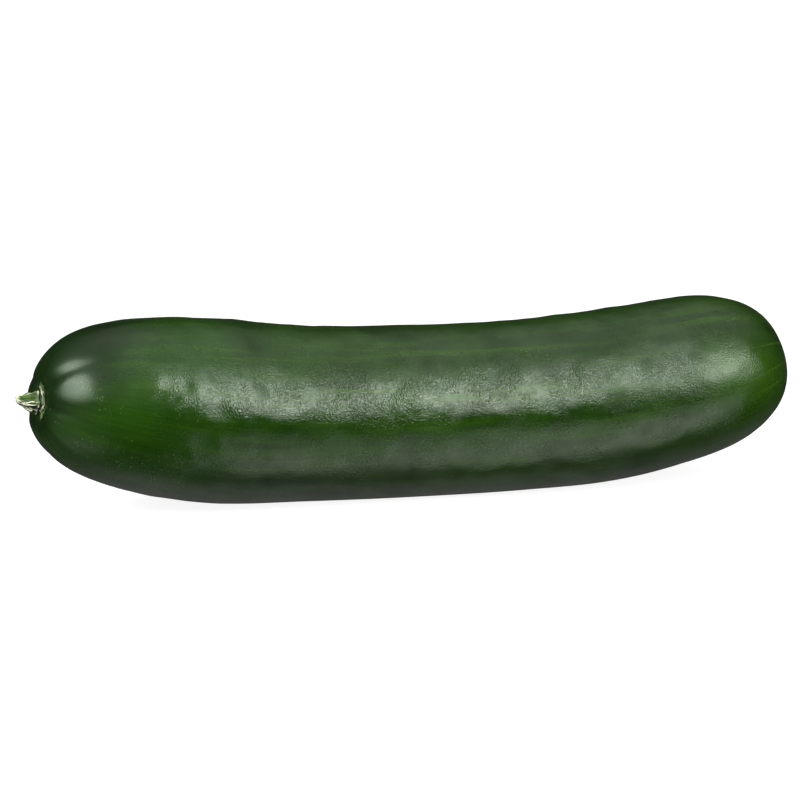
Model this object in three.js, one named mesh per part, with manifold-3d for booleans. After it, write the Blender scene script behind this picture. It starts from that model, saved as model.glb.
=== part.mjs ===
// A slicing cucumber as picked: the whole fruit with the dried stub of its stem still on it.
//
// Millimetres, +Z up. The fruit lies on its belly along X, with the stem end at -X and the blossom
// end at +X. The origin is on the small flat spot that it rests on, below the middle of its length.
//
// Both pieces are skins of rings: each ring is a closed loop of points round an axis, and a pole
// point closes each end. The fruit's shape is a bent, tapering body plus relief that is measured
// along its surface normal. The stem's root stands in a socket cut into the fruit.

import * as THREE from "three";
import { mergeVertices } from "three/addons/utils/BufferGeometryUtils.js";
import Module from "manifold-3d";

const wasm = await Module();
wasm.setup();

// ---- The fruit's body ----------------------------------------------------------------------

// Centreline and mean radius, from the stem end to the blossom end. The middle lies low and both
// ends rise, and the stem end bends towards -Y.
const STATIONS = [
  { x: -108.1, y: -12.5, z: 36.8, radius: 24.5 },
  { x: -82, y: -5.9, z: 31.2, radius: 24.8 },
  { x: -56, y: -1.9, z: 27, radius: 26.3 },
  { x: -28, y: -0.8, z: 24.7, radius: 25.2 },
  { x: 2, y: -0.3, z: 23.9, radius: 24.9 },
  { x: 34, y: 0, z: 24.1, radius: 24.9 },
  { x: 62, y: 0.6, z: 25.8, radius: 25.2 },
  { x: 90, y: 2, z: 30.4, radius: 23.9 },
  { x: 116.3, y: 4.5, z: 36, radius: 22.2 },
];
const FIRST = STATIONS[0];
const LAST = STATIONS[STATIONS.length - 1];

// Each end rounds off over this length; a fullness of 2 is an ellipse and more is blunter.
const STEM_END = { length: 41.5, fullness: 2.5 };
const BLOSSOM_END = { length: 34, fullness: 2.55 };

// Three lobes, from the fruit's three seed chambers: a flatter side lies underneath.
const LOBES = { count: 3, height: 0.55, turned: Math.PI / 2 };

// ---- Relief on the fruit -------------------------------------------------------------------

// The stem stands a little below the end of the centreline, in a shallow hollow. A smaller hollow
// lies round the blossom's scar.
const STEM_DROP = 2.3;
const STEM_HOLLOW = { depth: 1.6, reach: 5.5 };
const SCAR_HOLLOW = { depth: 0.9, reach: 5 };
const SCAR = { height: 0.5, reach: 1.9 };

// Creases that run out from the stem over the shoulder: angle round the stem in degrees, depth,
// and how far from the stem each has faded to a third.
const CREASES = [
  { angle: 28, depth: 0.7, reach: 15 },
  { angle: 86, depth: 0.7, reach: 15 },
  { angle: 130, depth: 1.1, reach: 17 },
  { angle: 183, depth: 0.9, reach: 15 },
  { angle: 238, depth: 0.45, reach: 19 },
  { angle: 286, depth: 0.7, reach: 16 },
  { angle: 333, depth: 0.8, reach: 18 },
];
const CREASE_WIDTH = 2; // half width where a crease is down to a third of its depth
const CREASE_START = 4; // distance from the stem's centre at which the creases have deepened

// Gentle swells all over the skin: a few waves that run in different directions. They smooth out
// towards the flat spot, over a height of `settled`.
const SWELLS = { height: 0.045, spacing: 15, waves: 7, settled: 5 };
const GOLDEN = 0.618034;

// ---- The stem ------------------------------------------------------------------------------

// Radius against distance from the hollow's floor. The root is below the floor.
const STEM_PROFILE = [
  { at: -2.4, radius: 2.1 },
  { at: -1, radius: 2.75 },
  { at: 0.6, radius: 3.15 },
  { at: 2, radius: 2.85 },
  { at: 3.4, radius: 2.4 },
  { at: 4.6, radius: 1.9 },
  { at: 6, radius: 1.4 },
  { at: 7, radius: 0.8 },
];
const STEM_ROOT = STEM_PROFILE[0].at;
const STEM_TIP = STEM_PROFILE[STEM_PROFILE.length - 1].at;
const STEM_CURL = 0.0022; // the stem curls up by this much times the cube of the distance
const STEM_RIBS = { count: 5, height: 0.13, twist: 0.09 }; // height per radius, radians per mm
const STEM_FOLDS = { height: 0.05, spacing: 2.9 }; // crosswise wrinkles of the dried skin
const SOCKET_GAP = 0.3;

// ---- How finely the skins are divided ------------------------------------------------------

const FRUIT_GRID = { rings: 84, sides: 52 };
const STEM_GRID = { rings: 18, sides: 30 };

// ---- Curves through a few values -----------------------------------------------------------

// The value of `key` at `position`, on a smooth curve through the rows of a table. `place` names
// the column that holds the position.
function valueAlong(table, place, key, position) {
  const last = table.length - 1;
  const slope = (i) => {
    const before = table[Math.max(i - 1, 0)];
    const after = table[Math.min(i + 1, last)];
    return (after[key] - before[key]) / (after[place] - before[place]);
  };
  let i = 0;
  while (i < last - 1 && table[i + 1][place] < position) i += 1;
  const from = table[i];
  const to = table[i + 1];
  const step = to[place] - from[place];
  const t = THREE.MathUtils.clamp((position - from[place]) / step, 0, 1);
  return (
    (2 * t ** 3 - 3 * t ** 2 + 1) * from[key] +
    (t ** 3 - 2 * t ** 2 + t) * step * slope(i) +
    (3 * t ** 2 - 2 * t ** 3) * to[key] +
    (t ** 3 - t ** 2) * step * slope(i + 1)
  );
}

// 0 at the very end of the fruit and 1 from `length` inwards.
function roundedEnd(distance, { length, fullness }) {
  const t = THREE.MathUtils.clamp(1 - distance / length, 0, 1);
  return (1 - t ** fullness) ** (1 / fullness);
}

// A smooth bump: 1 at nothing, a third at `reach`.
function bump(distance, reach) {
  return Math.exp(-((distance / reach) ** 2));
}

// ---- The fruit's plain form ----------------------------------------------------------------

function centreAt(x) {
  return new THREE.Vector3(
    x,
    valueAlong(STATIONS, "x", "y", x),
    valueAlong(STATIONS, "x", "z", x),
  );
}

// Directions at x: along the fruit, to its side and up, each square to the others.
function frameAt(x) {
  const half = 0.5;
  const along = centreAt(x + half).sub(centreAt(x - half)).normalize();
  const side = new THREE.Vector3(-along.y, along.x, 0).normalize();
  const up = new THREE.Vector3().crossVectors(along, side);
  return { along, side, up };
}

// The share of its full radius that the fruit has at x.
function fullnessAt(x) {
  return roundedEnd(x - FIRST.x, STEM_END) * roundedEnd(LAST.x - x, BLOSSOM_END);
}

function plainPoint(x, angle) {
  const { side, up } = frameAt(x);
  const lobe = LOBES.height * Math.cos(LOBES.count * (angle - LOBES.turned));
  const radius = fullnessAt(x) * (valueAlong(STATIONS, "x", "radius", x) + lobe);
  return centreAt(x)
    .addScaledVector(side, radius * Math.cos(angle))
    .addScaledVector(up, radius * Math.sin(angle));
}

// The outward normal of the plain form, from two short steps on it.
function plainNormal(x, angle) {
  const step = Math.min(0.05, (x - FIRST.x) / 4, (LAST.x - x) / 4);
  const turn = 0.01;
  const lengthwise = plainPoint(x + step, angle).sub(plainPoint(x - step, angle));
  const round = plainPoint(x, angle + turn).sub(plainPoint(x, angle - turn));
  return round.cross(lengthwise).normalize();
}

// ---- The fruit's relief --------------------------------------------------------------------

const STEM_FRAME = frameAt(FIRST.x);
const STEM_FOOT = centreAt(FIRST.x).addScaledVector(STEM_FRAME.up, -STEM_DROP);
const BLOSSOM_POLE = centreAt(LAST.x);

// How high the swells stand at x and angle. Each wave goes a whole number of times round.
function swells(x, angle) {
  const round = (2 * Math.PI * STATIONS[4].radius) / SWELLS.spacing;
  let height = 0;
  for (let wave = 0; wave < SWELLS.waves; wave += 1) {
    const heading = (Math.PI * (wave + 0.5)) / SWELLS.waves;
    const turns = Math.round(round * Math.cos(heading));
    const lengthwise = (2 * Math.PI * Math.sin(heading)) / SWELLS.spacing;
    const phase = 2 * Math.PI * ((wave * GOLDEN) % 1);
    height += Math.sin(turns * angle + lengthwise * x + phase);
  }
  return (SWELLS.height * height * fullnessAt(x) ** 2) / Math.sqrt(SWELLS.waves / 2);
}

// How deep the creases are at a point of the plain form, near the stem end.
function creases(point) {
  const out = point.clone().sub(STEM_FOOT);
  const sideways = out.dot(STEM_FRAME.side);
  const upwards = out.dot(STEM_FRAME.up);
  const across = Math.hypot(sideways, upwards);
  const angle = Math.atan2(upwards, sideways);
  let depth = 0;
  for (const crease of CREASES) {
    const apart = angle - THREE.MathUtils.degToRad(crease.angle);
    const offset = across * 2 * Math.sin(apart / 2);
    depth += crease.depth * bump(offset, CREASE_WIDTH) * bump(out.length(), crease.reach);
  }
  return depth * (1 - bump(out.length(), CREASE_START));
}

// The height of all the relief, along the surface normal.
function relief(point, x, angle) {
  const fromStem = point.distanceTo(STEM_FOOT);
  const fromScar = point.distanceTo(BLOSSOM_POLE);
  return (
    swells(x, angle) * THREE.MathUtils.smoothstep(point.z, 0, SWELLS.settled) -
    creases(point) -
    STEM_HOLLOW.depth * bump(fromStem, STEM_HOLLOW.reach) -
    SCAR_HOLLOW.depth * bump(fromScar, SCAR_HOLLOW.reach) +
    SCAR.height * bump(fromScar, SCAR.reach)
  );
}

// A point of the finished skin. The belly is flat where it rests.
function fruitPoint(x, angle) {
  const point = plainPoint(x, angle);
  point.addScaledVector(plainNormal(x, angle), relief(point, x, angle));
  point.z = Math.max(point.z, 0);
  return point;
}

// The middle of an end of the skin, where the centreline comes out. `outwards` is -1 or 1.
function endPoint(x, outwards) {
  const point = centreAt(x);
  return point.addScaledVector(frameAt(x).along, outwards * relief(point, x, 0));
}

// ---- Skins of rings ------------------------------------------------------------------------

// A closed geometry from rings that run along an axis, right-handed about it, with a pole point
// at each end.
function closedSkin(firstPole, rings, lastPole) {
  const sides = rings[0].length;
  const points = [firstPole, ...rings.flat(), lastPole];
  const at = (ring, side) => 1 + ring * sides + (side % sides);
  const end = points.length - 1;
  const faces = [];
  for (let side = 0; side < sides; side += 1) {
    faces.push(0, at(0, side + 1), at(0, side));
    for (let ring = 0; ring < rings.length - 1; ring += 1) {
      faces.push(at(ring, side), at(ring, side + 1), at(ring + 1, side + 1));
      faces.push(at(ring, side), at(ring + 1, side + 1), at(ring + 1, side));
    }
    faces.push(end, at(rings.length - 1, side), at(rings.length - 1, side + 1));
  }
  const geometry = new THREE.BufferGeometry().setFromPoints(points);
  geometry.setIndex(faces);
  return geometry;
}

// One ring: `pointAt` of each angle in turn.
function ringOf(sides, pointAt) {
  return Array.from({ length: sides }, (_, i) => pointAt((2 * Math.PI * i) / sides));
}

// ---- The two pieces ------------------------------------------------------------------------

// The rings stand close together at the ends, where the skin turns fastest.
function fruitSkin() {
  const { rings, sides } = FRUIT_GRID;
  const length = LAST.x - FIRST.x;
  const loops = [];
  for (let i = 1; i < rings; i += 1) {
    const x = FIRST.x + (length * (1 - Math.cos((Math.PI * i) / rings))) / 2;
    loops.push(ringOf(sides, (angle) => fruitPoint(x, angle)));
  }
  return closedSkin(endPoint(FIRST.x, -1), loops, endPoint(LAST.x, 1));
}

// A point on the stem's axis, `at` millimetres out from the floor of the hollow.
function stemAxis(at) {
  return STEM_FOOT.clone()
    .addScaledVector(STEM_FRAME.along, STEM_HOLLOW.depth - at)
    .addScaledVector(STEM_FRAME.up, STEM_CURL * Math.max(at, 0) ** 3);
}

// The stem, thicker all over by `gap`: its own skin with no gap, its socket's with one.
function stemSkin(gap) {
  const { rings, sides } = STEM_GRID;
  const { side, up } = STEM_FRAME;
  const loops = [];
  for (let i = 0; i <= rings; i += 1) {
    const at = STEM_ROOT + ((STEM_TIP - STEM_ROOT) * i) / rings;
    const radius = valueAlong(STEM_PROFILE, "at", "radius", at);
    const fold = STEM_FOLDS.height * Math.sin((2 * Math.PI * at) / STEM_FOLDS.spacing);
    loops.push(
      ringOf(sides, (angle) => {
        const ribs = Math.cos(STEM_RIBS.count * (angle + STEM_RIBS.twist * at));
        const out = radius * (1 + STEM_RIBS.height * ribs + fold) + gap;
        return stemAxis(at - (i === 0 ? gap : 0))
          .addScaledVector(side, -out * Math.cos(angle))
          .addScaledVector(up, out * Math.sin(angle));
      }),
    );
  }
  return closedSkin(stemAxis(STEM_ROOT - gap), loops, stemAxis(STEM_TIP));
}

// ---- Cutting the socket --------------------------------------------------------------------

function toSolid(geometry) {
  const merged = mergeVertices(geometry);
  return new wasm.Manifold(
    new wasm.Mesh({
      numProp: 3,
      vertProperties: new Float32Array(merged.attributes.position.array),
      triVerts: new Uint32Array(merged.index.array),
    }),
  );
}

function toGeometry(solid) {
  const { vertProperties, triVerts } = solid.getMesh();
  const geometry = new THREE.BufferGeometry();
  geometry.setAttribute("position", new THREE.BufferAttribute(vertProperties, 3));
  geometry.setIndex(new THREE.BufferAttribute(triVerts, 1));
  return geometry;
}

function fruitGeometry() {
  const socket = toSolid(stemSkin(SOCKET_GAP));
  return toGeometry(toSolid(fruitSkin()).subtract(socket));
}

// ---- The cucumber --------------------------------------------------------------------------

function namedMesh(name, geometry, look) {
  geometry.computeVertexNormals();
  const mesh = new THREE.Mesh(geometry, new THREE.MeshStandardMaterial(look));
  mesh.name = name;
  return mesh;
}

const cucumber = new THREE.Group();
cucumber.name = "cucumber";
cucumber.add(
  namedMesh("fruit", fruitGeometry(), { color: "#1f4412", roughness: 0.38, metalness: 0 }),
  namedMesh("stem", stemSkin(0), { color: "#7f9a58", roughness: 0.8, metalness: 0 }),
);

export default cucumber;
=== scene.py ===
"""A slicing cucumber with its dried stem stub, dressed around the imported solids.

Everything is in the part's own frame: the fruit lies along X on its belly, stem end at -X, with +Z
up. The shapes are worked out in millimetres, from the same dimensions and formulas as the solids,
and turned to metres when a mesh is made. The fine pieces replace the solids' `fruit` and `stem`.
"""

import math

import bpy
import numpy as np
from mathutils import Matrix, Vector


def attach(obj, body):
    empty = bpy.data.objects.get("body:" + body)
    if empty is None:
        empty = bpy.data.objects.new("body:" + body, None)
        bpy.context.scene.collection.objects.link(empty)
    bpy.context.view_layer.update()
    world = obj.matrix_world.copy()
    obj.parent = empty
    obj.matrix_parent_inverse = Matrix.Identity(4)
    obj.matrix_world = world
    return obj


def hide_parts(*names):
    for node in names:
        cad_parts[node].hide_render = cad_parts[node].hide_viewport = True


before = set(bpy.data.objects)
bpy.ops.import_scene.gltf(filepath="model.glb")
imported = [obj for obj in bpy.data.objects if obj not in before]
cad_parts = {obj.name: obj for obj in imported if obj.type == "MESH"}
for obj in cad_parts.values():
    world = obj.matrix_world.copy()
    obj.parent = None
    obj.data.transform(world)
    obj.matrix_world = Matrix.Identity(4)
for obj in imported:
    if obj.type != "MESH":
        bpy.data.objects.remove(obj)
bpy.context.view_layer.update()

MM = 0.001

# ---- The fruit's driving dimensions, in millimetres, as in the part's source ------------------

# x, y and z of the centreline, and the mean radius, from the stem end to the blossom end.
STATIONS = np.array([
    (-108.1, -12.5, 36.8, 24.5),
    (-82, -5.9, 31.2, 24.8),
    (-56, -1.9, 27, 26.3),
    (-28, -0.8, 24.7, 25.2),
    (2, -0.3, 23.9, 24.9),
    (34, 0, 24.1, 24.9),
    (62, 0.6, 25.8, 25.2),
    (90, 2, 30.4, 23.9),
    (116.3, 4.5, 36, 22.2),
])
FIRST_X = STATIONS[0, 0]
LAST_X = STATIONS[-1, 0]
MIDDLE_RADIUS = STATIONS[4, 3]
STEM_END = {"length": 41.5, "fullness": 2.5}
BLOSSOM_END = {"length": 34, "fullness": 2.55}
LOBES = {"count": 3, "height": 0.55, "turned": math.pi / 2}
STEM_DROP = 2.3
STEM_HOLLOW = {"depth": 1.6, "reach": 5.5}
SCAR_HOLLOW = {"depth": 0.9, "reach": 5}
SCAR = {"height": 0.5, "reach": 1.9}
CREASES = [  # angle round the stem in degrees, depth, reach from the stem
    (28, 0.7, 15),
    (86, 0.7, 15),
    (130, 1.1, 17),
    (183, 0.9, 15),
    (238, 0.45, 19),
    (286, 0.7, 16),
    (333, 0.8, 18),
]
CREASE_WIDTH = 2
CREASE_START = 4
SWELLS = {"height": 0.045, "spacing": 15, "waves": 7, "settled": 5}
GOLDEN = 0.618034

# ---- The stem's, likewise ----------------------------------------------------------------------

STEM_PROFILE = np.array([  # distance from the hollow's floor, radius
    (-2.4, 2.1),
    (-1, 2.75),
    (0.6, 3.15),
    (2, 2.85),
    (3.4, 2.4),
    (4.6, 1.9),
    (6, 1.4),
    (7, 0.8),
])
STEM_ROOT = STEM_PROFILE[0, 0]
STEM_TIP = STEM_PROFILE[-1, 0]
STEM_CURL = 0.0022
STEM_RIBS = {"count": 5, "height": 0.13, "twist": 0.09}
STEM_FOLDS = {"height": 0.05, "spacing": 2.9}

# ---- Finer relief, which the solids leave out --------------------------------------------------

DIMPLES = [  # height, spacing
    (0.022, 8.5),
    (0.010, 4.6),
]
DIMPLE_WAVES = 11

# Directions round the stem are in radians: 0 faces the front and a quarter turn is up.
FIBRES = {"count": 23, "depth": 0.30, "twist": 0.05, "gap": 0.62}
TORN = {"middle": math.radians(-46), "half": math.radians(54)}  # where the skin has split off
STRIP_AND_TOP_HIGHLIGHT = {"angle": math.radians(80), "half": 0.26}  # a pale strip along the stem's top: partly bleached fibre, partly a painted highlight on the top edge
STRIP_FURROW = {"angle": math.radians(54), "half": 0.13, "depth": 0.16}  # the split beside it
STRIP_TWIST = 0.05
RIMS = [  # two ragged rims at the stem's foot: place along it, half width, height
    (1.25, 0.30, 0.22),
    (0.05, 0.25, 0.25),
]
GROOVE = {"at": 0.72, "half": 0.27, "depth": 0.25}  # the groove between the rims, dark with painted shade
STEM_INSET = 0.1  # the stem is this much thinner than its solid, to make room for the relief

# ---- How finely the pieces are divided ---------------------------------------------------------

FRUIT_RINGS = 300
FRUIT_SIDES = 312
STEM_RINGS = 150
STEM_SIDES = 180


# ---- Curves and bumps --------------------------------------------------------------------------

def value_along(table, column, position):
    """The smooth curve through a table's rows, whose first column is the position."""
    place = table[:, 0]
    value = table[:, column]
    last = len(place) - 1
    before = np.maximum(np.arange(last + 1) - 1, 0)
    after = np.minimum(np.arange(last + 1) + 1, last)
    slope = (value[after] - value[before]) / (place[after] - place[before])
    i = np.clip(np.searchsorted(place, position) - 1, 0, last - 1)
    step = place[i + 1] - place[i]
    t = np.clip((position - place[i]) / step, 0, 1)
    return (
        (2 * t**3 - 3 * t**2 + 1) * value[i]
        + (t**3 - 2 * t**2 + t) * step * slope[i]
        + (3 * t**2 - 2 * t**3) * value[i + 1]
        + (t**3 - t**2) * step * slope[i + 1]
    )


def rounded_end(distance, length, fullness):
    """0 at the very end of the fruit and 1 from `length` inwards."""
    t = np.clip(1 - distance / length, 0, 1)
    return np.clip(1 - t**fullness, 0, 1) ** (1 / fullness)


def bump(distance, reach):
    """A smooth bump: 1 at nothing, a third at `reach`."""
    return np.exp(-((distance / reach) ** 2))


def smooth_step(value, low, high):
    """0 up to `low` and 1 from `high` on, with a smooth change between them."""
    t = np.clip((value - low) / (high - low), 0, 1)
    return t * t * (3 - 2 * t)


def unit(vectors):
    return vectors / np.linalg.norm(vectors, axis=-1, keepdims=True)


# ---- The fruit's plain form --------------------------------------------------------------------

def centre_at(x):
    x = np.asarray(x, float)
    return np.stack([x, value_along(STATIONS, 1, x), value_along(STATIONS, 2, x)], -1)


def frame_at(x):
    """Directions at x: along the fruit, to its side and up."""
    half = 0.5
    along = unit(centre_at(x + half) - centre_at(x - half))
    flat = np.zeros_like(along[..., 0])
    side = unit(np.stack([-along[..., 1], along[..., 0], flat], -1))
    return along, side, np.cross(along, side)


def fullness_at(x):
    """The share of its full radius that the fruit has at x."""
    return rounded_end(x - FIRST_X, **STEM_END) * rounded_end(LAST_X - x, **BLOSSOM_END)


def plain_point(x, angle):
    _, side, up = frame_at(x)
    lobe = LOBES["height"] * np.cos(LOBES["count"] * (angle - LOBES["turned"]))
    radius = fullness_at(x) * (value_along(STATIONS, 3, x) + lobe)
    across = side * np.cos(angle)[..., None] + up * np.sin(angle)[..., None]
    return centre_at(x) + across * radius[..., None]


def plain_normal(x, angle):
    """The outward normal of the plain form, from two short steps on it."""
    step = np.minimum(0.05, np.minimum((x - FIRST_X) / 4, (LAST_X - x) / 4))
    turn = 0.01
    lengthwise = plain_point(x + step, angle) - plain_point(x - step, angle)
    around = plain_point(x, angle + turn) - plain_point(x, angle - turn)
    return unit(np.cross(around, lengthwise))


# ---- The fruit's relief ------------------------------------------------------------------------

STEM_ALONG, STEM_SIDE, STEM_UP = frame_at(FIRST_X)
STEM_FOOT = centre_at(FIRST_X) - STEM_UP * STEM_DROP
BLOSSOM_POLE = centre_at(LAST_X)


def waves(x, angle, height, spacing, count, first_phase=0):
    """Gentle waves in several directions; each goes a whole number of times round."""
    around = 2 * math.pi * MIDDLE_RADIUS / spacing
    total = np.zeros_like(x)
    for wave in range(count):
        heading = math.pi * (wave + 0.5) / count
        turns = round(around * math.cos(heading))
        lengthwise = 2 * math.pi * math.sin(heading) / spacing
        phase = 2 * math.pi * ((wave * GOLDEN + first_phase) % 1)
        total += np.sin(turns * angle + lengthwise * x + phase)
    return height * total / math.sqrt(count / 2) * fullness_at(x) ** 2


def swells(x, angle):
    return waves(x, angle, SWELLS["height"], SWELLS["spacing"], SWELLS["waves"])


def dimples(x, angle):
    """Shallow unevenness that the eye sees only where it breaks up a reflection."""
    total = np.zeros_like(x)
    for place, (height, spacing) in enumerate(DIMPLES):
        total += waves(x, angle, height, spacing, DIMPLE_WAVES, 0.31 * (place + 1))
    return total


def creases(point):
    """How deep the creases that run out from the stem are."""
    out = point - STEM_FOOT
    distance = np.linalg.norm(out, axis=-1)
    sideways = out @ STEM_SIDE
    upwards = out @ STEM_UP
    across = np.hypot(sideways, upwards)
    angle = np.arctan2(upwards, sideways)
    depth = np.zeros_like(distance)
    for crease_angle, crease_depth, reach in CREASES:
        offset = across * 2 * np.sin((angle - math.radians(crease_angle)) / 2)
        depth += crease_depth * bump(offset, CREASE_WIDTH) * bump(distance, reach)
    return depth * (1 - bump(distance, CREASE_START))


def relief(point, x, angle):
    """The height of all the relief, along the surface normal."""
    from_stem = np.linalg.norm(point - STEM_FOOT, axis=-1)
    from_scar = np.linalg.norm(point - BLOSSOM_POLE, axis=-1)
    return (
        swells(x, angle) * smooth_step(point[..., 2], 0, SWELLS["settled"])
        - creases(point)
        - STEM_HOLLOW["depth"] * bump(from_stem, STEM_HOLLOW["reach"])
        - SCAR_HOLLOW["depth"] * bump(from_scar, SCAR_HOLLOW["reach"])
        + SCAR["height"] * bump(from_scar, SCAR["reach"])
    )


def end_point(x, outwards):
    """The middle of an end of the skin, where the centreline comes out."""
    point = centre_at(x)
    height = relief(point, np.array(x, float), 0)
    return point + frame_at(x)[0] * outwards * height


# ---- Meshes from rings -------------------------------------------------------------------------

def closed_skin(name, first_pole, rings, last_pole):
    """A closed smooth mesh from an array of rings (ring, side, xyz) and a pole at each end."""
    count, sides = rings.shape[:2]
    points = np.vstack([first_pole[None], rings.reshape(-1, 3), last_pole[None]])
    side = np.arange(sides)
    after = (side + 1) % sides
    row = 1 + sides * np.arange(count - 1)[:, None]
    quads = np.stack(
        [row + side, row + after, row + sides + after, row + sides + side], -1
    ).reshape(-1, 4)
    top = 1 + sides * (count - 1)
    end = len(points) - 1
    faces = [(0, 1 + b, 1 + a) for a, b in zip(side.tolist(), after.tolist())]
    faces += quads.tolist()
    faces += [(end, top + a, top + b) for a, b in zip(side.tolist(), after.tolist())]
    mesh = bpy.data.meshes.new(name)
    mesh.from_pydata((points * MM).tolist(), [], faces)
    mesh.shade_smooth()
    piece = bpy.data.objects.new(name, mesh)
    bpy.context.scene.collection.objects.link(piece)
    return piece


def paint_points(piece, name, values, pole_values):
    """Stores a number or a vector at every point of a closed skin, for its material to read."""
    kind = "FLOAT_VECTOR" if values.ndim == 3 else "FLOAT"
    layer = piece.data.attributes.new(name, kind, "POINT")
    width = 3 if values.ndim == 3 else 1
    flat = np.concatenate([
        np.reshape(pole_values[0], (1, width)),
        values.reshape(-1, width),
        np.reshape(pole_values[1], (1, width)),
    ])
    layer.data.foreach_set("vector" if width == 3 else "value", flat.astype(np.float32).ravel())


# ---- The fruit ---------------------------------------------------------------------------------

def ring_places():
    """Where the rings stand along x: evenly along the skin, and closer at both ends."""
    samples = 6000
    turn = np.linspace(0, math.pi, samples)
    x = FIRST_X + (LAST_X - FIRST_X) * (1 - np.cos(turn)) / 2
    radius = fullness_at(x) * value_along(STATIONS, 3, x)
    skin = np.concatenate([[0], np.cumsum(np.hypot(np.diff(x), np.diff(radius)))])
    finer_at_stem = 1.6 * bump(skin, 14)
    finer_at_scar = 0.8 * bump(skin[-1] - skin, 9)
    density = 1 + finer_at_stem + finer_at_scar
    counted = np.concatenate([[0], np.cumsum(np.diff(skin) * (density[1:] + density[:-1]) / 2)])
    wanted = np.linspace(0, counted[-1], FRUIT_RINGS + 1)[1:-1]
    return np.interp(wanted, counted, x), np.interp(wanted, counted, skin), skin[-1]


def build_fruit():
    x, skin, skin_length = ring_places()
    angle = 2 * math.pi * np.arange(FRUIT_SIDES) / FRUIT_SIDES
    x, angle = np.meshgrid(x, angle, indexing="ij")
    plain = plain_point(x, angle)
    clear_of_floor = smooth_step(plain[..., 2], 0, SWELLS["settled"])
    height = relief(plain, x, angle) + dimples(x, angle) * clear_of_floor
    rings = plain + plain_normal(x, angle) * height[..., None]
    rings[..., 2] = np.maximum(rings[..., 2], 0)

    fruit = closed_skin("cucumber_fruit", end_point(FIRST_X, -1), rings, end_point(LAST_X, 1))

    # The skin laid straight: round the fruit, and along it from the stem.
    laid = np.stack([
        MIDDLE_RADIUS * np.cos(angle),
        MIDDLE_RADIUS * np.sin(angle),
        np.broadcast_to(skin[:, None], x.shape),
    ], -1)
    paint_points(fruit, "laid_straight", laid, ((0, 0, 0), (0, 0, skin_length)))
    from_stem = np.linalg.norm(plain - STEM_FOOT, axis=-1)
    from_scar = np.linalg.norm(plain - BLOSSOM_POLE, axis=-1)
    length = np.linalg.norm(BLOSSOM_POLE - STEM_FOOT)
    paint_points(fruit, "from_stem", from_stem, (STEM_DROP, length))
    paint_points(fruit, "from_scar", from_scar, (length, 0))

    # The skin close to the stem, for the hairs to grow on.
    close = from_stem < HAIRS["furthest"] + 1
    return fruit, rings[close], plain_normal(x, angle)[close]


# ---- The stem ----------------------------------------------------------------------------------

def stem_axis(at):
    """A point on the stem's axis, `at` millimetres out from the floor of the hollow."""
    at = np.asarray(at, float)[..., None]
    rise = STEM_CURL * np.maximum(at, 0) ** 3
    return STEM_FOOT + STEM_ALONG * (STEM_HOLLOW["depth"] - at) + STEM_UP * rise


def ripple(around, at, waves, seed):
    """An even-tempered random ripple from -1 to 1 over the stem's skin."""
    value = np.zeros_like(at)
    for wave in range(waves):
        turns = 3 + 2 * wave + (seed + wave) % 3
        lengthwise = 0.7 + 0.9 * ((wave * GOLDEN + seed * 0.37) % 1)
        phase = 2 * math.pi * (((wave + 1) * (seed + 1) * GOLDEN) % 1)
        value += np.sin(turns * around + lengthwise * at + phase)
    return value / waves


def apart(angle, middle):
    """The angle between a direction round the stem and another, from 0 to pi."""
    return np.abs((angle - middle + math.pi) % (2 * math.pi) - math.pi)


def stem_across(angle):
    """The direction out of the stem's axis at an angle round it."""
    return -STEM_SIDE * np.cos(angle)[..., None] + STEM_UP * np.sin(angle)[..., None]


def plain_stem(at, angle):
    """The stem's radius as in its solid, with its ribs and folds."""
    ribs = STEM_RIBS["height"] * np.cos(STEM_RIBS["count"] * (angle + STEM_RIBS["twist"] * at))
    folds = STEM_FOLDS["height"] * np.sin(2 * math.pi * at / STEM_FOLDS["spacing"])
    return value_along(STEM_PROFILE, 1, at) * (1 + ribs + folds)


def fibre_strands(at, angle):
    """1 along the middle of each strand of fibre, and 0 between two strands."""
    wander = 0.45 * np.sin(0.9 * at + 2 * angle) + 0.40 * ripple(angle, at, waves=4, seed=2)
    return np.abs(np.cos((FIBRES["count"] * (angle + FIBRES["twist"] * at) + wander * 2.2) / 2))


def strip_share(at, angle, part):
    """1 on the dried strip's ridge or furrow, whichever `part` is, and 0 away from it."""
    return bump(apart(angle, part["angle"] + STRIP_TWIST * at), part["half"])


def ragged_rims(at, angle):
    """How high the two rims stand where the stem meets the fruit."""
    height = np.zeros_like(at)
    for place, half, most in RIMS:
        ragged = 0.5 + 0.8 * ripple(angle, at * 0.2 + place, waves=7, seed=3)
        height += most * bump(at - place, half) * np.clip(ragged, 0, 1)
    return height


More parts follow.
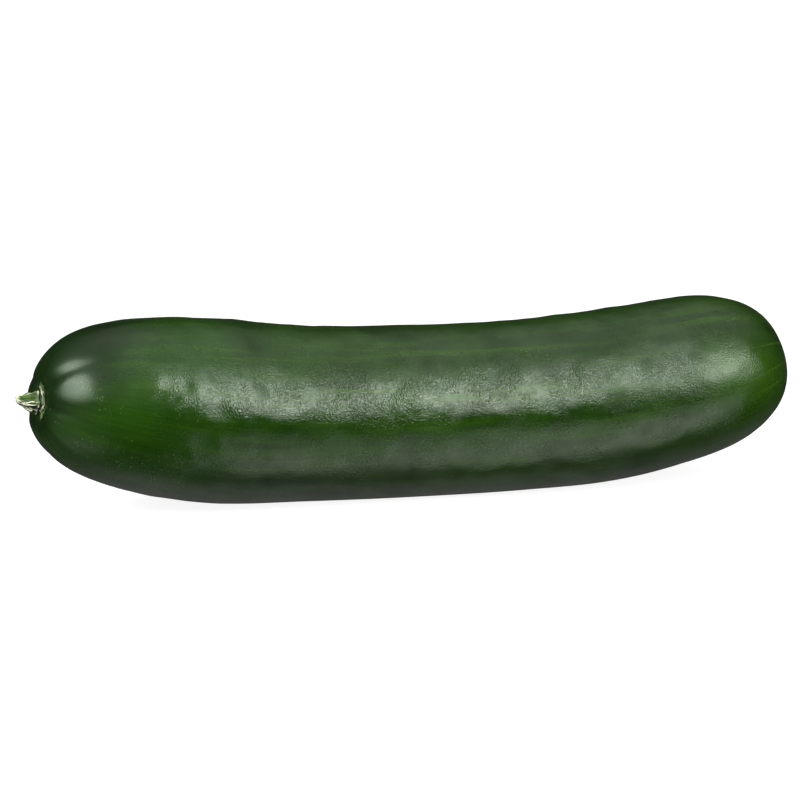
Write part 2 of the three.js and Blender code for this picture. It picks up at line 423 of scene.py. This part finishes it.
def build_stem():
    at = np.linspace(STEM_ROOT, STEM_TIP, STEM_RINGS)
    angle = 2 * math.pi * np.arange(STEM_SIDES) / STEM_SIDES
    at, angle = np.meshgrid(at, angle, indexing="ij")

    # Narrow furrows between rounded strands, deeper where the skin has split off, and gone
    # towards the thin tip.
    strand = fibre_strands(at, angle)
    furrow = 1 - np.clip(strand / FIBRES["gap"], 0, 1) ** 1.5
    torn = 1 - smooth_step(apart(angle, TORN["middle"]), 0.55 * TORN["half"], 1.25 * TORN["half"])
    patchy = smooth_step(ripple(angle, at, waves=5, seed=5), -0.25, 0.4)
    depth = FIBRES["depth"] * (0.22 + 0.78 * torn) * (0.45 + 0.55 * patchy)
    thin = smooth_step(value_along(STEM_PROFILE, 1, at), 0.5, 1.6)
    split = strip_share(at, angle, STRIP_FURROW) * smooth_step(at, 0.6, 1.6)
    ridge = strip_share(at, angle, STRIP_AND_TOP_HIGHLIGHT) * smooth_step(at, 0.2, 1.4)
    rim = ragged_rims(at, angle)
    groove = bump(at - GROOVE["at"], GROOVE["half"])

    out = plain_stem(at, angle) - (depth * furrow + STRIP_FURROW["depth"] * split) * thin
    out = out + rim - GROOVE["depth"] * groove - STEM_INSET
    rings = stem_axis(at) + stem_across(angle) * out[..., None]
    stem = closed_skin("cucumber_stem", stem_axis(STEM_ROOT), rings, stem_axis(STEM_TIP))

    # Painted shade: dark between the strands, in the split and the groove, and over much of the
    # torn side among its deep furrows.
    gaps = smooth_step(ripple(angle * 2, at * 1.3, waves=5, seed=8), -0.3, 0.15)
    dark = np.maximum(furrow * (0.30 + 0.70 * torn * gaps) * thin, 0.85 * split)
    dark = np.maximum(np.maximum(dark, groove), torn * (0.45 + 0.4 * gaps) * thin)
    paint_points(stem, "furrow", np.clip(dark, 0, 1), (0, 0))

    # Bleached along the strands, in flecks on the rims and at the tip. The pale strip along the
    # top is partly bleached fibre and partly a painted highlight on the top edge.
    streaky = smooth_step(ripple(angle, at * 2, waves=6, seed=11), -0.3, 0.3)
    crest = smooth_step(strand, 0.87, 0.98) * torn * smooth_step(patchy, 0.15, 0.6)
    tip = smooth_step(at, STEM_TIP - 1.2, STEM_TIP - 0.1) * (0.15 + 0.5 * streaky)
    flecks = smooth_step(rim, 0.07, 0.2) * (0.25 + 0.5 * streaky)
    pale = np.maximum(np.maximum(0.9 * crest, tip), np.maximum(flecks, 0.75 * ridge * streaky))
    paint_points(stem, "bleached", np.clip(pale * (1 - groove), 0, 1), (0, 0.4))
    return stem


# ---- Loose fibres and hairs --------------------------------------------------------------------

# Hairs and shreds stand on the skin beside the stem, on its side that faces the front. `nearest`
# and `furthest` are from the stem's centre, `lean` is away from it and `stray` is to either side.
HAIRS = {
    "count": 120, "nearest": 3.5, "furthest": 5.4, "turn": 0.3, "half_turn": 0.95,
    "length": 1.5, "thickness": 0.045, "lean": 0.9, "stray": 0.35, "bleached": 0,
}
SHREDS = {
    "count": 26, "nearest": 3.3, "furthest": 4.6, "turn": 0.3, "half_turn": 0.65,
    "length": 1.4, "thickness": 0.085, "lean": 0.5, "stray": 1.5, "bleached": 1,
}
STRANDS = {"count": 6, "thickness": 0.12, "bleached": 0.9}
TUBE_STEPS = 9
TUBE_SIDES = 5
TIP_TAPER = 0.65  # the share of its thickness that a tube loses towards its tip
ASKEW = np.array([0.3, 0.5, 0.8])  # a direction that no tube runs along


def planted(draw, roots, normals, kind):
    """Paths of curved hairs that grow out of the skin beside the stem and lean away from it."""
    offset = roots - STEM_FOOT
    near, far = kind["nearest"], kind["furthest"]
    distance = np.sqrt(draw.uniform(near**2, far**2, kind["count"]))
    half_turn = kind["half_turn"]
    angle = kind["turn"] + draw.uniform(-half_turn, half_turn, kind["count"])
    wanted = np.stack([-distance * np.cos(angle), distance * np.sin(angle)], -1)
    flat = np.stack([offset @ STEM_SIDE, offset @ STEM_UP], -1)
    chosen = np.argmin(((wanted[:, None] - flat[None]) ** 2).sum(-1), axis=1)
    root, normal = roots[chosen], normals[chosen]
    out = root - STEM_FOOT
    away = unit(out - STEM_ALONG * (out @ STEM_ALONG)[:, None])
    sideways = np.cross(away, normal) * draw.normal(0, kind["stray"], kind["count"])[:, None]
    length = kind["length"] * draw.uniform(0.5, 1.3, kind["count"])

    # Each starts a little under the skin, rises out of it and bends over.
    t = np.linspace(0, 1, TUBE_STEPS)[None, :, None]
    rise = normal[:, None] * (t * (1 - 0.35 * t) - 0.08)
    drift = (away * kind["lean"] + sideways)[:, None] * (0.35 * t + 0.65 * t**2)
    return root[:, None] + (rise + drift) * length[:, None, None]


def strands(draw):
    """Paths of the loose strands that lie along the torn side of the stem."""
    count = STRANDS["count"]
    t = np.linspace(0, 1, TUBE_STEPS)
    first = draw.uniform(0.9, 3.2, count)[:, None]
    last = np.minimum(first + draw.uniform(1.8, 4.6, count)[:, None], STEM_TIP - 0.3)
    at = first + (last - first) * t
    middle = TORN["middle"] + TORN["half"] * np.linspace(-0.7, 0.9, count)[:, None]
    pitch = draw.uniform(1.2, 2.4, count)[:, None]
    phase = draw.uniform(0, 6, count)[:, None]
    angle = middle + 0.15 * np.sin(pitch * at + phase)
    out = value_along(STEM_PROFILE, 1, at) + 0.02
    return stem_axis(at) + stem_across(angle) * out[..., None]


def tubes(paths, thickness, first_point):
    """Points and faces of thin closed tubes along paths (tube, step, xyz), finer at their tips."""
    along = unit(np.gradient(paths, axis=1))
    first = unit(np.cross(along, ASKEW))
    second = np.cross(along, first)
    turn = 2 * math.pi * np.arange(TUBE_SIDES) / TUBE_SIDES
    taper = thickness * (1 - TIP_TAPER * np.linspace(0, 1, TUBE_STEPS) ** 2)
    ring = first[:, :, None] * np.cos(turn)[:, None] + second[:, :, None] * np.sin(turn)[:, None]
    rings = paths[:, :, None] + ring * taper[:, None, None]
    points, faces = [], []
    side = list(range(TUBE_SIDES))
    for path, tube in zip(paths, rings):
        start = first_point + len(points)
        points.extend(tube.reshape(-1, 3))
        points.extend([path[0], path[-1]])
        end = start + TUBE_STEPS * TUBE_SIDES
        top = end - TUBE_SIDES
        for a in side:
            b = (a + 1) % TUBE_SIDES
            faces.append((end, start + b, start + a))
            faces.append((end + 1, top + a, top + b))
            for row in range(start, top, TUBE_SIDES):
                faces.append((row + a, row + b, row + b + TUBE_SIDES, row + a + TUBE_SIDES))
    return points, faces


def build_fuzz(roots, normals):
    """Fine hairs and pale shreds beside the stem, and loose strands along its torn side."""
    draw = np.random.default_rng(7)
    bundles = [
        (planted(draw, roots, normals, HAIRS), HAIRS),
        (planted(draw, roots, normals, SHREDS), SHREDS),
        (strands(draw), STRANDS),
    ]
    points, faces, bleached = [], [], []
    for paths, kind in bundles:
        more_points, more_faces = tubes(paths, kind["thickness"], len(points))
        points += more_points
        faces += more_faces
        bleached += [kind["bleached"]] * len(more_points)
    mesh = bpy.data.meshes.new("cucumber_fuzz")
    mesh.from_pydata((np.array(points) * MM).tolist(), [], faces)
    mesh.shade_smooth()
    layer = mesh.attributes.new("bleached", "FLOAT", "POINT")
    layer.data.foreach_set("value", bleached)
    fuzz = bpy.data.objects.new("cucumber_fuzz", mesh)
    bpy.context.scene.collection.objects.link(fuzz)
    return fuzz


# ---- Materials ---------------------------------------------------------------------------------

class Look:
    """A node tree, with short calls that add a node and join its inputs."""

    def __init__(self, tree):
        self.nodes = tree.nodes
        self.links = tree.links

    def join(self, socket, value):
        if isinstance(value, bpy.types.NodeSocket):
            self.links.new(value, socket)
        else:
            socket.default_value = value

    def add(self, kind, inputs, **settings):
        node = self.nodes.new("ShaderNode" + kind)
        for setting, value in settings.items():
            setattr(node, setting, value)
        for place, value in inputs.items():
            self.join(node.inputs[place], value)
        return node

    def math(self, operation, *values):
        return self.add("Math", dict(enumerate(values)), operation=operation).outputs[0]

    def times(self, value, *others):
        for other in others:
            value = self.math("MULTIPLY", value, other)
        return value

    def stretch(self, vector, scale):
        node = self.add("VectorMath", {0: vector, 1: scale}, operation="MULTIPLY")
        return node.outputs[0]

    def noise(self, vector, scale, detail=2.0, roughness=0.5):
        inputs = {"Vector": vector, "Scale": scale, "Detail": detail, "Roughness": roughness}
        return self.add("TexNoise", inputs).outputs["Fac"]

    def streaks(self, laid, across, lengthwise, detail, roughness=0.5):
        """Noise over the skin laid straight, as fine as `across` and `lengthwise` say."""
        return self.noise(self.stretch(laid, (across, across, lengthwise)), 1, detail, roughness)

    def spread(self, value, start, end, low=0.0, high=1.0):
        """A smooth change from `low` to `high` while the value goes from `start` to `end`."""
        inputs = {
            "Value": value, "From Min": start, "From Max": end, "To Min": low, "To Max": high,
        }
        return self.add("MapRange", inputs, interpolation_type="SMOOTHSTEP").outputs["Result"]

    def curve(self, value, stops):
        """A level that goes smoothly from stop to stop; each stop is a value and its level."""
        level = stops[0][1]
        for (start, start_level), (end, end_level) in zip(stops, stops[1:]):
            change = self.spread(value, start, end, 0, end_level - start_level)
            level = self.math("ADD", level, change)
        return level

    def mix(self, share, first, second):
        inputs = {"Factor": share, 6: first, 7: second}
        return self.add("Mix", inputs, data_type="RGBA").outputs[2]

    def stored(self, name, kind="Fac"):
        """A number or vector that is stored at the mesh's points."""
        return self.add("Attribute", {}, attribute_name=name).outputs[kind]

    def place(self):
        """The place in the part's frame, in millimetres."""
        metres = self.add("TexCoord", {}).outputs["Object"]
        return self.stretch(metres, (1000, 1000, 1000))


def new_material(name):
    material = bpy.data.materials.new(name)
    material.use_nodes = True
    look = Look(material.node_tree)
    return material, look, look.nodes["Principled BSDF"]


DARK_GREEN = (0.0052, 0.0185, 0.0011, 1)
MID_GREEN = (0.0108, 0.0350, 0.0022, 1)
GRASS_GREEN = (0.0125, 0.0560, 0.0014, 1)
YELLOW_GREEN = (0.0215, 0.0580, 0.0026, 1)
BLOSSOM_GREEN = (0.0290, 0.0830, 0.0045, 1)
PALE_GREEN = (0.055, 0.115, 0.014, 1)
SPECK_GREEN = (0.200, 0.300, 0.100, 1)
# Partly the stem end's own dark green, partly painted shade in the hollow and on the top.
STEM_END_DARK_AND_SHADE = (0.0018, 0.0065, 0.0010, 1)
FUZZ_GREEN = (0.075, 0.125, 0.045, 1)


def skin_colour(look, place, laid, from_stem, from_scar):
    """Mottled green, with streaks that run lengthwise and meet at the blossom end."""
    broad = look.spread(look.noise(place, 0.055, 3), 0.36, 0.66)
    colour = look.mix(broad, DARK_GREEN, MID_GREEN)

    # Fresher green over the quarter nearest the stem.
    patchy = look.streaks(laid, 0.10, 0.05, 3)
    edge = look.math("ADD", from_stem, look.times(patchy, -60))
    fresh = look.spread(edge, 45, 20, 0, 0.4)
    colour = look.mix(fresh, colour, GRASS_GREEN)

    # A yellower band a little way in from the blossom end, strongest halfway up: by height it
    # fades towards the belly, and towards the top as painted shade.
    height = look.add("SeparateXYZ", {0: place}).outputs["Z"]
    blush_shaded_on_top = look.times(
        look.spread(from_scar, 46, 32),
        look.spread(from_scar, 12, 27, 0.15, 0.85),
        look.spread(height, 47, 37, 0.1, 1),
        look.spread(height, 20, 34, 0.4, 1),
    )
    colour = look.mix(blush_shaded_on_top, colour, BLOSSOM_GREEN)

    # Wide soft streaks, fine ones over them, and pale ones that grow clear near the blossom end.
    wide = look.spread(look.streaks(laid, 0.28, 0.020, 2), 0.46, 0.72)
    colour = look.mix(look.times(wide, 0.6), colour, YELLOW_GREEN)
    fine = look.spread(look.streaks(laid, 1.5, 0.05, 2), 0.35, 0.65)
    fainter = look.spread(from_scar, 15, 50, 0.1, 0.35)
    colour = look.mix(look.times(fine, fainter), colour, DARK_GREEN)
    narrow = look.spread(look.streaks(laid, 0.5, 0.03, 2), 0.57, 0.72)
    clear = look.spread(from_scar, 34, 8, 0.07, 1)
    colour = look.mix(look.times(narrow, clear), colour, PALE_GREEN)

    # Nearly black green round the stem. This is partly the stem end's own darker green, and partly
    # painted shade in the hollow round it and, by height, further up its top. Pale fuzz close in.
    ragged = look.streaks(laid, 0.35, 0.06, 3)
    # Painted shade: the higher up, the further from the stem the dark reaches.
    shoulder = look.math("MAXIMUM", look.math("SUBTRACT", height, 28.0), 0.0)
    reach = look.math("SUBTRACT", look.math("MULTIPLY_ADD", ragged, -12.0, from_stem), shoulder)
    shade = look.math("MAXIMUM", look.spread(reach, 15, -5), look.spread(from_stem, 16, 7))
    colour = look.mix(look.times(shade, 0.96), colour, STEM_END_DARK_AND_SHADE)
    fuzz = look.spread(look.streaks(laid, 1.0, 0.25, 4, 0.7), 0.38, 0.62)
    ring = look.times(look.spread(from_stem, 3.2, 4.4), look.spread(from_stem, 6.2, 4.4, 0, 0.22))
    colour = look.mix(look.times(fuzz, ring), colour, FUZZ_GREEN)
    return look.mix(specks(look, place, from_stem, height), colour, SPECK_GREEN)


SPECKS = [  # cells a millimetre, radius as a share of a cell, share of the cells that have one
    (1.30, 0.25, 0.55),
    (0.40, 0.14, 0.30),
]


def specks(look, place, from_stem, height):
    """Tiny pale specks in loose drifts, most of them a little way from the stem."""
    wobble = look.add("TexNoise", {"Vector": place, "Scale": 1.9, "Detail": 1.0}).outputs["Color"]
    wobble = look.stretch(wobble, (0.5, 0.5, 0.5))
    bent = look.add("VectorMath", {0: place, 1: wobble}, operation="ADD").outputs[0]
    nearness = look.times(
        look.spread(from_stem, 12, 22),
        look.spread(from_stem, 62, 35),
        look.spread(height, 44, 36),
    )
    drift = look.math("ADD", look.noise(place, 0.09, 2), look.times(nearness, 0.22))
    inside = look.spread(drift, 0.60, 0.74)
    total = 0.0
    for cells, radius, share in SPECKS:
        cell = look.add("TexVoronoi", {"Vector": bent, "Scale": cells})
        spot = look.spread(cell.outputs["Distance"], radius, radius * 0.45)
        draw = look.add("SeparateColor", {0: cell.outputs["Color"]})
        chosen = look.spread(draw.outputs[0], share, share * 0.9)
        bright = look.math("MULTIPLY_ADD", look.math("POWER", draw.outputs[1], 2), 0.75, 0.15)
        total = look.math("MAXIMUM", total, look.times(spot, chosen, bright))
    return look.times(total, inside)


CELLS = 4.2  # the skin's cells to the millimetre
GRAIN = 2.3  # the bumps of its grain to the millimetre


def skin_material():
    """Waxy green skin: mottled colour, and a fine grain that breaks up its highlights."""
    material, look, shader = new_material("cucumber_skin")
    place = look.place()
    laid = look.stored("laid_straight", "Vector")
    from_stem = look.stored("from_stem")
    from_scar = look.stored("from_scar")
    shader.inputs["IOR"].default_value = 1.34
    shader.inputs["Specular Tint"].default_value = (0.78, 1, 0.72, 1)

    # A fine speckle of darker green, as fine as the skin's cells.
    colour = skin_colour(look, place, laid, from_stem, from_scar)
    cells = look.noise(place, CELLS, 0)
    fine_dark_speckle = look.spread(cells, 0.41, 0.59, 0.35, 0)
    look.join(shader.inputs["Base Color"], look.mix(fine_dark_speckle, colour, DARK_GREEN))

    # Shinier in some patches than in others, and dull near the stem.
    patches = look.spread(look.noise(place, 0.07, 2), 0.35, 0.68, 0.10, 0.16)
    dull = look.spread(from_stem, 38, 14, 0, 0.22)
    look.join(shader.inputs["Roughness"], look.math("ADD", patches, dull))

    # A fine grain, stronger in some patches and away from the stem.
    uneven = look.spread(look.noise(place, 0.13, 2), 0.38, 0.62)
    away = look.spread(from_stem, 25, 75, 0.3, 1)
    strength = look.times(look.math("MULTIPLY_ADD", uneven, 0.04, 0.04), away)
    height = look.times(look.noise(place, GRAIN, 0), strength)
    bumps = look.add("Bump", {"Height": height, "Strength": 1.0, "Distance": MM})
    look.join(shader.inputs["Normal"], bumps.outputs["Normal"])

    # A coat of wax, broken up as finely as the skin's cells.
    broken = look.spread(cells, 0.41, 0.59, -0.35, 0.35)
    contrast = look.math("MULTIPLY_ADD", uneven, 0.5, 0.5)
    thick = look.spread(look.noise(place, 0.11, 3), 0.38, 0.62, 0.45, 0.68)
    wax = look.math("MULTIPLY_ADD", broken, contrast, thick)
    wax = look.times(wax, look.spread(from_stem, 14, 40, 0.1, 1))
    look.join(shader.inputs["Coat Weight"], wax)
    look.join(shader.inputs["Coat Normal"], bumps.outputs["Normal"])
    shader.inputs["Coat IOR"].default_value = 1.46
    shader.inputs["Coat Roughness"].default_value = 0.13
    return material


STEM_GREEN = (0.042, 0.088, 0.012, 1)
STEM_GREY = (0.060, 0.088, 0.040, 1)
# Bleached cream, made nearly white so that it also paints small highlights.
STEM_CREAM_AND_HIGHLIGHT = (0.930, 0.950, 0.720, 1)
STEM_PAINTED_SHADE = (0.0015, 0.0030, 0.0006, 1)


def stem_material():
    """Drying stem: grey-green, with bleached fibres standing out of furrows dark with painted
    shade.
    """
    material, look, shader = new_material("cucumber_stem")
    place = look.place()
    blotches = look.spread(look.noise(place, 0.9, 3), 0.38, 0.62)
    colour = look.mix(blotches, STEM_GREEN, STEM_GREY)
    # The stored furrow share is painted shade.
    colour = look.mix(look.stored("furrow"), colour, STEM_PAINTED_SHADE)
    colour = look.mix(look.stored("bleached"), colour, STEM_CREAM_AND_HIGHLIGHT)
    look.join(shader.inputs["Base Color"], colour)
    shader.inputs["Roughness"].default_value = 0.62
    shader.inputs["Specular IOR Level"].default_value = 0.15
    grain = look.noise(place, 3.5, 3)
    bumps = look.add("Bump", {"Height": grain, "Strength": 0.8, "Distance": 0.06 * MM})
    look.join(shader.inputs["Normal"], bumps.outputs["Normal"])
    return material


HAIR_GREEN = (0.160, 0.250, 0.090, 1)


def fuzz_material():
    """Hairs in pale green, and bleached shreds and strands."""
    material, look, shader = new_material("cucumber_fuzz")
    tone = look.spread(look.noise(look.place(), 1.4, 2), 0.35, 0.65, 0.4, 1)
    colour = look.mix(look.stored("bleached"), HAIR_GREEN, STEM_CREAM_AND_HIGHLIGHT)
    look.join(shader.inputs["Base Color"], look.mix(tone, STEM_GREEN, colour))
    shader.inputs["Roughness"].default_value = 0.55
    return material


# ---- The stage: floor, light and camera --------------------------------------------------------

def build_floor():
    """A wide sheet that glows, so that it stays pale.

    Only the camera sees it. The lights below it stand for what it would send up.
    """
    half = 8
    mesh = bpy.data.meshes.new("floor")
    corners = [(-half, -half, 0), (half, -half, 0), (half, half, 0), (-half, half, 0)]
    mesh.from_pydata(corners, [], [(0, 1, 2, 3)])
    floor = bpy.data.objects.new("floor", mesh)
    bpy.context.scene.collection.objects.link(floor)
    material, _, shader = new_material("floor")
    shader.inputs["Base Color"].default_value = (0.3, 0.3, 0.3, 1)
    shader.inputs["Roughness"].default_value = 1
    shader.inputs["Specular IOR Level"].default_value = 0
    shader.inputs["Emission Color"].default_value = (1, 1, 1, 1)
    shader.inputs["Emission Strength"].default_value = 0.9
    mesh.materials.append(material)
    floor.visible_diffuse = False
    floor.visible_glossy = False
    floor.visible_shadow = False


def shape_radiance(look, across, upwards, outwards, below):
    """Gives a softbox's face its radiance: a level by height, times two shares."""
    place = look.add("NewGeometry", {}).outputs["Parametric"]
    parts = look.add("SeparateXYZ", {0: place})
    rise = look.math("SUBTRACT", 1.0, parts.outputs["Y"]) if below else parts.outputs["Y"]
    level = look.times(look.curve(parts.outputs["X"], across), look.curve(rise, upwards))
    from_middle = look.add("VectorMath", {0: place, 1: (0.5, 0.5, 0)}, operation="DISTANCE")
    reach = look.times(from_middle.outputs["Value"], 2.0)
    level = look.times(level, look.curve(reach, outwards))
    look.join(look.nodes["Emission"].inputs["Strength"], level)


def softbox(
    name, azimuth, distance, shift, width, bottom, height, across, upwards,
    outwards=((0, 1),), lean=0, below=False, in_gloss=True,
):
    """An upright softbox, `azimuth` degrees round from the front towards +X, that faces back.

    It stands `distance` out and `shift` to its right of the origin, and its top leans `lean`
    degrees to its right. `upwards` are stops of its radiance from its bottom to its top, from 0
    to 1; `across` and `outwards` are stops of shares of it, from its left side and from its
    middle. One that is `below` is the box's image in the table: it hangs upside down under the
    floor. One that isn't `in_gloss` lights the skin's colour and makes no highlight on it.
    """
    data = bpy.data.lights.new(name, "AREA")
    data.shape = "RECTANGLE"
    data.size = width
    data.size_y = height
    data.energy = math.pi * width * height
    data.use_nodes = True
    shape_radiance(Look(data.node_tree), across, upwards, outwards, below)
    light = bpy.data.objects.new(name, data)
    turned = math.radians(azimuth)
    middle = bottom + height / 2
    light.location = (
        math.sin(turned) * distance + math.cos(turned) * shift,
        -math.cos(turned) * distance + math.sin(turned) * shift,
        -middle if below else middle,
    )
    light.rotation_euler = (math.radians(90), math.radians(lean), turned)
    light.visible_camera = False
    light.visible_glossy = in_gloss
    bpy.context.scene.collection.objects.link(light)


def build_softboxes():
    softbox(
        "softbox_middle", azimuth=17, distance=0.45, shift=0.085,
        width=0.13, bottom=0.10, height=0.62, lean=11,
        across=[
            (0, 0), (0.1, 1.55), (0.18, 1.4), (0.3, 0.75), (0.45, 0.45), (0.65, 0.35),
            (0.83, 0.2), (1, 0),
        ],
        upwards=[
            (0, 1.5), (0.05, 4.2), (0.13, 8.6), (0.2, 11.8), (0.28, 11.4), (0.4, 9.2),
            (0.5, 7.8), (0.6, 7.2), (0.75, 6.4), (0.9, 4.6), (1, 1.6),
        ],
    )
    softbox(
        "softbox_right", azimuth=48, distance=0.45, shift=0,
        width=0.40, bottom=0.02, height=0.48,
        across=[
            (0.14, 0), (0.24, 0.85), (0.32, 0.92), (0.4, 0.8), (0.55, 0.74), (0.66, 0.66),
            (0.78, 0.54), (0.88, 0.36), (1, 0.1),
        ],
        upwards=[
            (0, 0.8), (0.083, 1.8), (0.167, 2.9), (0.24, 4.8), (0.3, 6.6), (0.365, 7.4),
            (0.5, 7.1), (0.57, 4.4), (0.64, 2.4), (0.73, 1.6), (0.83, 1.2), (1, 0.6),
        ],
    )
    softbox(
        "softbox_top", azimuth=17, distance=0.45, shift=0.18,
        width=0.26, bottom=0.58, height=0.32,
        across=[(0, 0), (0.25, 1), (0.75, 1), (1, 0)],
        upwards=[(0, 0), (0.3, 1.5), (0.7, 1.4), (1, 0.3)],
    )
    softbox(
        "softbox_left", azimuth=-63, distance=0.445, shift=0.03,
        width=0.50, bottom=0.09, height=0.60,
        across=[(0, 1)], outwards=[(0.7, 1), (1.02, 0)],
        upwards=[
            (0, 2), (0.1, 7), (0.18, 13), (0.27, 16), (0.5, 16), (0.6, 13), (0.72, 10),
            (0.86, 7), (1, 4),
        ],
    )


def build_table_glow():
    """What the skin gets from the bright table: behind it, in front of it and past the stem."""
    softbox(
        "table_glow_back", azimuth=180, distance=0.50, shift=0,
        width=1.0, bottom=0, height=0.26, below=True, in_gloss=False,
        across=[(0, 0), (0.3, 1), (0.7, 1), (1, 0)],
        upwards=[(0, 0), (0.3, 9), (0.7, 9), (1, 0)],
    )
    softbox(
        "table_glow_right", azimuth=-4, distance=0.20, shift=0.22,
        width=0.46, bottom=0, height=0.60, below=True,
        across=[
            (0, 0.2), (0.1, 0.6), (0.2, 0.85), (0.4, 1), (0.6, 1), (0.75, 0.8), (0.85, 0.6),
            (1, 0.3),
        ],
        upwards=[
            (0, 0.5), (0.08, 1.3), (0.2, 1.65), (0.3, 1.75), (0.42, 1.45), (0.55, 1),
            (0.7, 0.65), (1, 0.25),
        ],
    )
    softbox(
        "table_glow_left", azimuth=-63, distance=0.445, shift=0.05,
        width=0.85, bottom=0, height=0.75, below=True,
        across=[
            (0, 0.2), (0.17, 0.65), (0.36, 1), (0.48, 0.95), (0.6, 0.65), (0.7, 0.42),
            (0.85, 0.2), (1, 0),
        ],
        upwards=[
            (0, 0.6), (0.06, 0.7), (0.12, 0.45), (0.2, 0.4), (0.3, 0.65), (0.42, 1),
            (0.55, 1.2), (0.7, 1.1), (0.85, 0.85), (1, 0.5),
        ],
    )


# Brightness of the studio by angle from its brightest direction, both in degrees. That direction
# leans from straight up to the front.
ROOM_LEAN = 14
ROOM = [
    (0, 1.1), (15, 1.05), (28, 0.92), (38, 0.65), (48, 0.42), (60, 0.18), (72, 0.03),
    (115, 0.03), (135, 0.1), (155, 0.18), (170, 0.32), (180, 0.36),
]
BACKDROP = 0.93  # the plain brightness that the camera sees instead


def build_world():
    world = bpy.data.worlds.new("studio")
    bpy.context.scene.world = world
    world.use_nodes = True
    look = Look(world.node_tree)
    lean = math.radians(ROOM_LEAN)
    direction = look.add("TexCoord", {}).outputs["Generated"]
    towards = (0, -math.sin(lean), math.cos(lean))
    cosine = look.add("VectorMath", {0: direction, 1: towards}, operation="DOT_PRODUCT")
    angle = look.math("ARCCOSINE", cosine.outputs["Value"])
    level = look.curve(look.math("DEGREES", angle), ROOM)
    seen = look.add("LightPath", {}).outputs["Is Camera Ray"]
    change = look.math("SUBTRACT", BACKDROP, level)
    level = look.math("ADD", level, look.times(seen, change))
    look.join(look.nodes["Background"].inputs["Strength"], level)
    look.nodes["Background"].inputs["Color"].default_value = (1, 1, 1, 1)


def build_camera():
    azimuth = math.radians(-14)
    elevation = math.radians(11)
    distance = 0.9
    target = Vector((-0.84, 0.21, 27.6)) * MM
    back = Vector((
        math.sin(azimuth) * math.cos(elevation),
        -math.cos(azimuth) * math.cos(elevation),
        math.sin(elevation),
    ))
    data = bpy.data.cameras.new("camera")
    data.sensor_width = 36
    data.lens = 139.9
    camera = bpy.data.objects.new("camera", data)
    camera.location = target + back * distance
    camera.rotation_euler = back.to_track_quat("Z", "Y").to_euler()
    bpy.context.scene.collection.objects.link(camera)
    bpy.context.scene.camera = camera


# ---- Putting it together -----------------------------------------------------------------------

def dress(piece, material, replaced=None):
    piece.data.materials.append(material)
    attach(piece, "root")
    if replaced:
        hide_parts(replaced)


build_camera()
build_floor()
build_softboxes()
build_table_glow()
build_world()
bpy.context.scene.view_settings.view_transform = "Standard"
fruit, roots, root_normals = build_fruit()
dress(fruit, skin_material(), "fruit")
dress(build_stem(), stem_material(), "stem")
dress(build_fuzz(roots, root_normals), fuzz_material())
